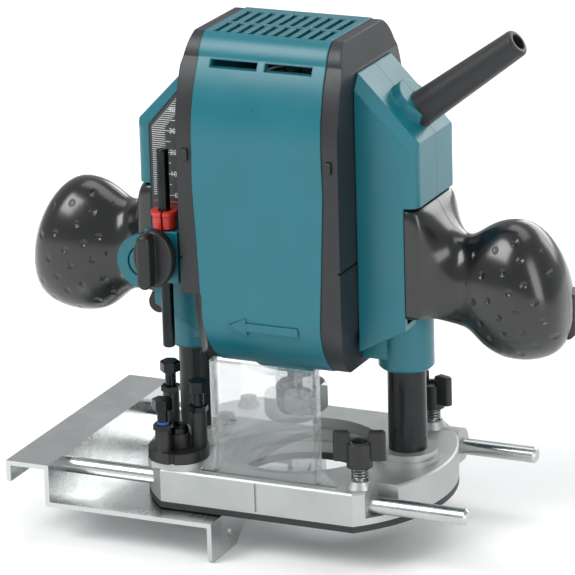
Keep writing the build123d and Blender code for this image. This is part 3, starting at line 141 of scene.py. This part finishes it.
def black_tube():
    """Ground steel tube, black oxide: near black, smooth along its length, with a
    wiped-oil sheen and faint ring marks from the sliding sleeves."""
    material, tree, shader, where = surface("black_oxide_tube", metallic=0.6)
    flat = put(tree, "ShaderNodeMapping", {"Vector": where, "Scale": (0.15, 0.15, 3)})
    rings = put(tree, "ShaderNodeTexNoise",
                {"Vector": flat.outputs["Vector"], "Scale": per_metre(0.8)})
    shade(tree, shader, where, "#191A1B", "#303234", 12, (0.22, 0.36),
          rings.outputs["Fac"], 0.01)
    return material


def dimpled_grip():
    """Semi-gloss ABS grip with moulded dimples about 9 mm apart on its face, and the
    seam of its two halves."""
    material, tree, shader, where = surface("glossy_abs_grip", IOR=1.54, Coat_Weight=0.4,
                                            Coat_Roughness=0.16)
    peel = put(tree, "ShaderNodeTexNoise", {"Vector": where, "Scale": per_metre(0.9)})
    bump = shade(tree, shader, where, "#08090A", "#111214", 25, (0.2, 0.3),
                 peel.outputs["Fac"], 0.012)
    slant = put(tree, "ShaderNodeMapping",
                {"Vector": where, "Rotation": (math.radians(90), 0, math.radians(24))})
    cells = put(tree, "ShaderNodeTexVoronoi",
                {"Vector": slant.outputs["Vector"], "Scale": per_metre(9.5), "Randomness": 0.28},
                voronoi_dimensions="2D")
    dent = put(tree, "ShaderNodeMapRange",
               {"Value": cells.outputs["Distance"], "From Min": 0.02, "From Max": 0.21},
               interpolation_type="SMOOTHSTEP")
    # Dimples only on the knob's front: beyond the neck and ahead of the seam.
    axes = put(tree, "ShaderNodeSeparateXYZ", {"Vector": where})
    reach = put(tree, "ShaderNodeMath", {0: axes.outputs["X"]}, operation="ABSOLUTE")
    on_knob = put(tree, "ShaderNodeMath", {0: reach.outputs[0], 1: 0.088},
                  operation="GREATER_THAN")
    in_front = put(tree, "ShaderNodeMath", {0: axes.outputs["Y"], 1: -0.007},
                   operation="LESS_THAN")
    patch = put(tree, "ShaderNodeMath", {0: on_knob.outputs[0], 1: in_front.outputs[0]},
                operation="MULTIPLY")
    dimple = put(tree, "ShaderNodeMix",
                 {"Factor": patch.outputs[0], 2: 1.0, 3: dent.outputs["Result"]},
                 data_type="FLOAT")
    from_seam = put(tree, "ShaderNodeMath", {0: axes.outputs["Y"]}, operation="ABSOLUTE")
    seam = put(tree, "ShaderNodeMapRange",
               {"Value": from_seam.outputs[0], "From Min": 0.0002, "From Max": 0.0006},
               interpolation_type="SMOOTHSTEP")
    height = put(tree, "ShaderNodeMath", {0: dimple.outputs[0], 1: seam.outputs["Result"]},
                 operation="MULTIPLY")
    dimples = put(tree, "ShaderNodeBump",
                  {"Height": height.outputs[0], "Distance": 0.7 * MM, "Strength": 1.0,
                   "Normal": bump.outputs["Normal"]})
    tree.links.new(dimples.outputs["Normal"], shader.inputs["Normal"])
    return material


def clear_polycarbonate():
    """Injection-moulded polycarbonate sheet: clear, faintly grey-blue, with soft flow
    waves and light rubbing scratches."""
    material, tree, shader, where = surface("clear_polycarbonate", IOR=1.3,
                                            Transmission_Weight=0.9, Alpha=0.5)
    flow = put(tree, "ShaderNodeMapping", {"Vector": where, "Scale": (1, 1, 0.25)})
    waves = put(tree, "ShaderNodeTexNoise",
                {"Vector": flow.outputs["Vector"], "Scale": per_metre(9)})
    shade(tree, shader, where, "#E9F0F2", "#FAFCFC", 30, (0.02, 0.06),
          waves.outputs["Fac"], 0.02)
    return material


def grained(name, dark, light, patch_mm, rough, grain_mm, depth_mm, **values):
    """A plain skin with one fine grain: rubber, satin strip, printed ink or paper."""
    material, tree, shader, where = surface(name, **values)
    grain = put(tree, "ShaderNodeTexNoise", {"Vector": where, "Scale": per_metre(grain_mm)})
    shade(tree, shader, where, dark, light, patch_mm, rough, grain.outputs["Fac"], depth_mm)
    return material


def banded(name, metallic, distortion, dark, light, patch_mm, rough, depth_mm):
    """Fine level bands about a millimetre apart, as wire turns and stacked sheets have."""
    material, tree, shader, where = surface(name, metallic=metallic)
    bands = put(tree, "ShaderNodeTexWave",
                {"Vector": where, "Scale": 320.0, "Distortion": distortion},
                bands_direction="Z")
    shade(tree, shader, where, dark, light, patch_mm, rough, bands.outputs["Fac"], depth_mm)
    return material


teal = spark_nylon("teal_glass_filled_nylon", "#07606D", "#0A6B78", (0.27, 0.37))
dark_nylon = spark_nylon("charcoal_glass_filled_nylon", "#15171A", "#202327", (0.34, 0.46),
                         grain_mm=0.8)
knob_nylon = spark_nylon("black_nylon_knob", "#0C0D0E", "#18191B", (0.34, 0.5), grain_mm=0.6)
# Compression-moulded phenolic, a little coarser than the nylon.
phenolic = spark_nylon("moulded_phenolic_sole", "#151617", "#222426", (0.42, 0.6),
                       grain_mm=1.2, depth_mm=0.05)
# Injection-moulded acetal, smooth and slightly translucent.
red_acetal = spark_nylon("red_acetal", "#B8261C", "#D2382B", (0.3, 0.4), grain_mm=0.5,
                         depth_mm=0.015, Subsurface_Weight=0.08, Subsurface_Scale=0.002)
zinc = zinc_plated_steel("bright_zinc_steel")
# Bent sheet, rolled along its length.
guide_zinc = zinc_plated_steel("bright_zinc_bent_sheet", "#C0C4C4", "#D3D6D5", (0.3, 1, 1))
# Black chromate over zinc, on the screws and the pole.
black_screw = zinc_plated_steel("black_zinc_steel", "#1D1E1F", "#3C3F41")
# Hardened steel, ground and left bare.
ground_steel = zinc_plated_steel("ground_tool_steel", "#6E7173", "#A0A4A5")
aluminium = cast_aluminium()
tube = black_tube()
grip = dimpled_grip()
clear = clear_polycarbonate()
# Black EPDM rubber: dull, with a fine dusty bloom.
rubber = grained("epdm_rubber", "#0E0F11", "#1A1C1E", 9, (0.38, 0.55), 0.5, 0.03,
                 IOR=1.5, Sheen_Weight=0.15)
# Enamelled winding wire: orange-brown, glossy, in close parallel turns.
copper = banded("enamelled_copper_wire", 0.85, 0.4, "#7A4322", "#B9733F", 6, (0.25, 0.4), 0.2)
# Stacked electrical steel: dark grey, with the fine edge lines of its sheets.
core = banded("laminated_core_steel", 0.9, 0.1, "#5A5C5E", "#85888A", 8, (0.38, 0.5), 0.1)
# Black anodised scale strip with a satin face.
strip = grained("satin_black_scale", "#26292B", "#3A3D40", 8, (0.35, 0.5), 0.5, 0.01, IOR=1.5)
# Screen-printed inks and a painted thread lock: opaque, satin.
white_ink = grained("white_screen_ink", "#CDD0CF", "#F1F2F0", 3, (0.4, 0.55), 0.4, 0.01,
                    IOR=1.5)
red_ink = grained("red_screen_ink", "#B52A20", "#D94335", 3, (0.4, 0.55), 0.4, 0.01, IOR=1.5)
blue_lock = grained("blue_thread_lock", "#1B4E9B", "#2F6BC4", 3, (0.4, 0.55), 0.4, 0.01,
                    IOR=1.5)

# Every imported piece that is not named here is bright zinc.
FINISHES = (
    (aluminium, "base_casting bearing_plate"),
    (phenolic, "sole_plate"),
    (tube, "left_column right_column"),
    (clear, "chip_deflector"),
    (teal, "motor_cover motor_bracket left_arm_front left_arm_rear right_arm_front"
           " right_arm_rear pivot_cap"),
    (dark_nylon, "left_side_cover right_side_cover cover_clips switch_body"),
    (knob_nylon, "nozzle_screw turret_block pole_knob lock_lever switch_trigger lock_button"
                 " shaft_lock front_clamp_knob rear_clamp_knob cooling_fan"),
    (black_screw, "turret_screw stop_bolts stop_nuts housing_screws stopper_pole"),
    (ground_steel, "plunge_springs clamp_springs spindle collet_cone collet_nut"
                   " lower_bearing upper_bearing"),
    (grip, "left_handle_front left_handle_rear right_handle_front right_handle_rear"),
    (guide_zinc, "guide_fence"),
    (strip, "scale_plate"),
    (red_acetal, "depth_pointer"),
    (rubber, "cord_guard carbon_brushes"),
    (core, "stator_core armature_core"),
    (copper, "stator_coils commutator"),
)
finish_of = {name: material for material, names in FINISHES for name in names.split()}
for name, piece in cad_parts.items():
    piece.data.materials.clear()
    piece.data.materials.append(finish_of.get(name, zinc))


def to_mesh(name, shape):
    """The mesh of a bmesh, which is freed."""
    mesh = bpy.data.meshes.new(name)
    shape.to_mesh(mesh)
    shape.free()
    return mesh


def linked(name, data):
    """A new object at the origin, in the scene."""
    made = bpy.data.objects.new(name, data)
    bpy.context.scene.collection.objects.link(made)
    return made


def rider(name, mesh, material, body):
    """Turns a mesh into a piece that rides on a body of the router."""
    mesh.materials.clear()
    mesh.materials.append(material)
    piece = linked(name, mesh)
    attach(piece, body)
    return piece


def finished(name, shape, material, body):
    """Turns a bmesh into such a piece."""
    return rider(name, to_mesh(name, shape), material, body)


def bar(shape, centre, size):
    """A block, given by its centre and its size in metres."""
    bmesh.ops.create_cube(shape, size=1.0,
                          matrix=Matrix.Translation(centre) @ Matrix.Diagonal((*size, 1)))


def smooth(shape):
    """Shades every face of a bmesh smooth."""
    for face in shape.faces:
        face.smooth = True


# Grips: a boxed root in the arm that narrows to a neck and swells to the knob.
# Each row: distance from the spindle, centre height, half height, half depth, squareness.
GRIP_ROWS = (
    (61.6, 116.7, 26.2, 22.9, 12.0), (61.7, 116.7, 26.2, 22.9, 12.0),
    (62.2, 116.7, 26.2, 22.9, 12.0), (67.4, 116.6, 26.1, 22.8, 10.0),
    (69.6, 115.2, 25.0, 21.4, 5.0), (72.0, 111.9, 23.4, 18.8, 3.4),
    (75.5, 108.2, 21.6, 16.6, 2.6), (80.0, 106.0, 20.8, 15.6, 2.2),
    (84.0, 105.2, 21.4, 15.8, 2.0), (88.0, 104.6, 24.2, 17.0, 2.0),
    (92.5, 104.1, 27.9, 18.8, 2.0), (97.5, 104.0, 30.6, 20.3, 2.0),
    (103.0, 104.0, 31.9, 21.4, 2.0), (109.0, 104.0, 32.0, 21.9, 2.05),
    (114.5, 103.1, 30.3, 21.6, 2.1), (119.5, 101.5, 27.2, 20.2, 2.1),
    (124.0, 99.2, 22.8, 17.8, 2.1), (127.4, 97.2, 17.2, 14.0, 2.1),
    (129.4, 95.8, 10.4, 9.2, 2.0), (130.1, 95.3, 4.0, 3.8, 2.0),
)
GRIP_SEGMENTS = 48
# Holes bored from the back of a grip, in mm: distance, height, start in depth, radius.
SCREW_RECESS = (104.0, 104.0, 17.2, 3.2)
BORE_DEPTH = 20
BUTTON_START = 9.0
BUTTON_GAP = 0.3
# How far the trigger's pocket runs past the trigger along X, and its play in Y and Z.
TRIGGER_SHIFT = Vector((0.006, 0, 0))
TRIGGER_ROOM = Vector((0.022, 0.0006, 0.0006))


def grip_ring(shape, side, row):
    """A circle pressed to one row's outline and set at its distance."""
    x, centre, half_height, half_depth, square = row
    ring = bmesh.ops.create_circle(shape, segments=GRIP_SEGMENTS, radius=1.0)["verts"]
    for vert in ring:
        c, s = vert.co.x, vert.co.y
        depth = math.copysign(abs(c) ** (2 / square), c) * half_depth
        rise = math.copysign(abs(s) ** (2 / square), s) * half_height
        vert.co = Vector((side * x, depth, centre + rise)) * MM
    return list({edge for vert in ring for edge in vert.link_edges})


def grip_cutter(side):
    """Recess of the grip screw and, on the right, the trigger's and button's pockets."""
    shape = bmesh.new()
    bores = [SCREW_RECESS]
    if side > 0:
        low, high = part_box("lock_button")
        bores.append(((low.x + high.x) / 2 / MM, (low.z + high.z) / 2 / MM, BUTTON_START,
                      (high.x - low.x) / 2 / MM + BUTTON_GAP))
    for x, z, start, radius in bores:
        middle = Vector((side * x, start + BORE_DEPTH / 2, z)) * MM
        place = Matrix.Translation(middle) @ Matrix.Rotation(math.radians(90), 4, "X")
        bmesh.ops.create_cone(shape, cap_ends=True, segments=32, radius1=radius * MM,
                              radius2=radius * MM, depth=BORE_DEPTH * MM, matrix=place)
    if side > 0:
        low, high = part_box("switch_trigger")
        bar(shape, (low + high) / 2 + TRIGGER_SHIFT, high - low + TRIGGER_ROOM)
    return linked("grip_cutter", to_mesh("grip_cutter", shape))


def make_grip(side, name):
    """The solid grip of one side, in place of the two packed halves."""
    shape = bmesh.new()
    rings = [grip_ring(shape, side, row) for row in GRIP_ROWS]
    for inner, outer in zip(rings, rings[1:]):
        bmesh.ops.bridge_loops(shape, edges=inner + outer)
    for ring in (rings[0], rings[-1]):
        bmesh.ops.contextual_create(shape, geom=ring)
    bmesh.ops.recalc_face_normals(shape, faces=shape.faces)
    smooth(shape)
    piece = finished(name + "_grip", shape, grip, "motor_unit")
    rounded = piece.modifiers.new("rounded", "SUBSURF")
    rounded.levels = rounded.render_levels = 1
    cutter = grip_cutter(side)
    pocket = piece.modifiers.new("pockets", "BOOLEAN")
    pocket.operation = "DIFFERENCE"
    pocket.solver = "EXACT"
    pocket.object = cutter
    bpy.context.view_layer.update()
    evaluated = piece.evaluated_get(bpy.context.evaluated_depsgraph_get())
    cut = bpy.data.meshes.new_from_object(evaluated)
    piece.modifiers.clear()
    piece.data = cut
    cut.materials.clear()
    cut.materials.append(grip)
    bpy.data.objects.remove(cutter)
    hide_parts(name + "_handle_front", name + "_handle_rear")


make_grip(-1, "left")
make_grip(1, "right")

# Plunge springs: the imported coils again, merged and smoothed, as a piece that rides on the
# base.
coils = bmesh.new()
coils.from_mesh(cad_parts["plunge_springs"].data)
bmesh.ops.remove_doubles(coils, verts=coils.verts, dist=0.000001)
smooth(coils)
springs = finished("plunge_coils", coils, ground_steel, "base")
low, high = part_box("plunge_springs")
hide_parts("plunge_springs")
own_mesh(springs)

# Scale strip: millimetre marks, longer each 5 and 10, numbers and a red zero line.
# Lengths are in mm, and the marks' outer ends follow the strip's edge, which slopes in
# above SLOPE_START.
MARK_COUNT = 46
LONG_MARK, MIDDLE_MARK, SHORT_MARK = 13.0, 9.0, 6.5
MARK_WIDTH, MARK_INSET = 0.28, 1.2
SLOPE_START, SLOPE_INSET, SLOPE = 169.5, 2.0, 0.89
FIGURE_HEIGHT, FIGURE_INSET = 3.4, 8.6
ZERO_RISE, ZERO_LINE_DROP, ZERO_LINE_WIDTH = 12, 3, 0.6
INK_LIFT, INK_THICK = 0.04, 0.06
low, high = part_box("scale_plate")
face = low.y - INK_LIFT * MM
zero = low.z + ZERO_RISE * MM
marks = bmesh.new()
for step in range(MARK_COUNT):
    reach = LONG_MARK if step % 10 == 0 else MIDDLE_MARK if step % 5 == 0 else SHORT_MARK
    height = zero + step * MM
    above = height / MM - SLOPE_START
    inset = SLOPE_INSET + (above - 1) * SLOPE if above > 0 else MARK_INSET
    outer = low.x + max(MARK_INSET, inset) * MM
    bar(marks, (outer + reach / 2 * MM, face, height),
        (reach * MM, INK_THICK * MM, MARK_WIDTH * MM))
finished("scale_marks", marks, white_ink, "motor_unit")
zero_line = bmesh.new()
bar(zero_line, ((low.x + high.x) / 2, face, zero - ZERO_LINE_DROP * MM),
    (high.x - low.x - 2 * MM, 0.08 * MM, ZERO_LINE_WIDTH * MM))
finished("scale_zero_line", zero_line, red_ink, "motor_unit")
for step in range(0, MARK_COUNT, 10):
    figure = bpy.data.curves.new("figure", "FONT")
    figure.body = str(step)
    figure.size = FIGURE_HEIGHT * MM
    figure.align_x = "RIGHT"
    figure.align_y = "CENTER"
    holder = linked("figure", figure)
    bpy.context.view_layer.update()
    mesh = bpy.data.meshes.new_from_object(holder)
    bpy.data.objects.remove(holder)
    place = Matrix.Translation((high.x - FIGURE_INSET * MM, face - 0.02 * MM, zero + step * MM))
    mesh.transform(place @ Matrix.Rotation(math.radians(90), 4, "X"))
    rider("scale_number_%d" % step, mesh, white_ink, "motor_unit")

# Feed arrow: a low plateau on the foot of the front panel, which curves back below CURVE_Z.
ARROW_CORNERS = ((-16, 86.6), (-7, 91.2), (-7, 88.6), (18, 88.6), (18, 84.5), (-7, 84.5),
                 (-7, 82.0))
CURVE_Z = 90
ARROW_SUNK, ARROW_THICK, ARROW_ROUND = 0.2, 0.65, 0.15
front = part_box("motor_cover")[0].y
arrow = bmesh.new()
outline = arrow.faces.new([
    arrow.verts.new((x * MM, front + (ARROW_SUNK + max(0, CURVE_Z - z) ** 2 / 40) * MM, z * MM))
    for x, z in ARROW_CORNERS])
raised = bmesh.ops.extrude_face_region(arrow, geom=[outline])["geom"]
bmesh.ops.translate(arrow, vec=(0, -ARROW_THICK * MM, 0),
                    verts=[v for v in raised if isinstance(v, bmesh.types.BMVert)])
bmesh.ops.recalc_face_normals(arrow, faces=arrow.faces)
bmesh.ops.bevel(arrow, geom=arrow.edges, offset=ARROW_ROUND * MM, affect="EDGES", segments=2,
                profile=0.5, material=-1)
finished("feed_arrow", arrow, teal, "motor_unit")

# Blue thread lock round the neck of the front stop bolt.
LOCK_RADIUS, LOCK_HEIGHT, LOCK_ROUND = 2.62, 2.4, 0.1
LOCK_PLACE = Matrix.Translation((-0.0462, -0.05023, 0.0392))
patch = bmesh.new()
bmesh.ops.create_cone(patch, cap_ends=True, segments=24, radius1=LOCK_RADIUS * MM,
                      radius2=LOCK_RADIUS * MM, depth=LOCK_HEIGHT * MM, matrix=LOCK_PLACE)
bmesh.ops.bevel(patch, geom=patch.edges, offset=LOCK_ROUND * MM, affect="EDGES", segments=1,
                profile=0.5, material=-1)
finished("thread_lock", patch, blue_lock, "turret")


def stage_plane():
    """A sheet of matt white paper under the lowest edge of the guide."""
    shape = bmesh.new()
    bmesh.ops.create_grid(shape, x_segments=1, y_segments=1, size=6.0)
    bmesh.ops.translate(shape, vec=(0, 2.0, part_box("guide_fence")[0].z - 0.0002),
                        verts=shape.verts)
    mesh = to_mesh("floor", shape)
    mesh.materials.append(grained("matt_white_paper_floor", "#FBFCFC", "#FFFFFF", 400,
                                  (0.8, 0.9), 8, 0.02))
    linked("floor", mesh)


def softbox(name, place, aim, size, watts):
    """A rectangular white lamp that faces a point."""
    light = bpy.data.lights.new(name, "AREA")
    light.shape = "RECTANGLE"
    light.size, light.size_y = size
    light.energy = watts
    holder = linked(name, light)
    holder.location = place
    holder.rotation_euler = (Vector(aim) - Vector(place)).to_track_quat("-Z", "Y").to_euler()


stage_plane()
softbox("key_softbox", (-0.9, -1.1, 1.5), (0, 0, 0.1), (1.1, 1.1), 26)
softbox("fill_softbox", (1.6, -0.9, 0.7), (0, 0, 0.1), (0.8, 1.4), 13)
softbox("top_softbox", (0.1, 0.5, 1.8), (0, 0, 0.1), (1.6, 0.9), 9)
softbox("rim_softbox", (0.3, 1.4, 0.6), (0, 0, 0.12), (1.4, 0.6), 9)
world = bpy.data.worlds.new("pale_studio")
world.use_nodes = True
backdrop = world.node_tree.nodes["Background"]
backdrop.inputs["Color"].default_value = linear("#F2F4F5")
backdrop.inputs["Strength"].default_value = 0.55
bpy.context.scene.world = world
bpy.context.scene.view_settings.view_transform = "Standard"

# Camera: the point it looks at, its angles, its distance and its focal length, in mm,
# which is given as a share of the sensor's width.
TARGET = Vector((-0.0058, 0.0, 0.09269))
AZIMUTH, ELEVATION, ROLL = (math.radians(a) for a in (24.788, 17.809, -1.621))
DISTANCE = 1.9
SENSOR = 36
FOCAL_SHARE = 4200.8 / 575
right = Vector((math.cos(AZIMUTH), math.sin(AZIMUTH), 0))
back = Vector((math.sin(AZIMUTH) * math.cos(ELEVATION),
               -math.cos(AZIMUTH) * math.cos(ELEVATION), math.sin(ELEVATION)))
up = back.cross(right)
camera_data = bpy.data.cameras.new("camera")
camera_data.sensor_width = SENSOR
camera_data.lens = SENSOR * FOCAL_SHARE
camera_data.clip_end = 50
camera = linked("camera", camera_data)
across = math.cos(ROLL) * right + math.sin(ROLL) * up
upward = -math.sin(ROLL) * right + math.cos(ROLL) * up
turn = Matrix((across, upward, back)).transposed().to_4x4()
camera.matrix_world = Matrix.Translation(TARGET + DISTANCE * back) @ turn
bpy.context.scene.camera = camera
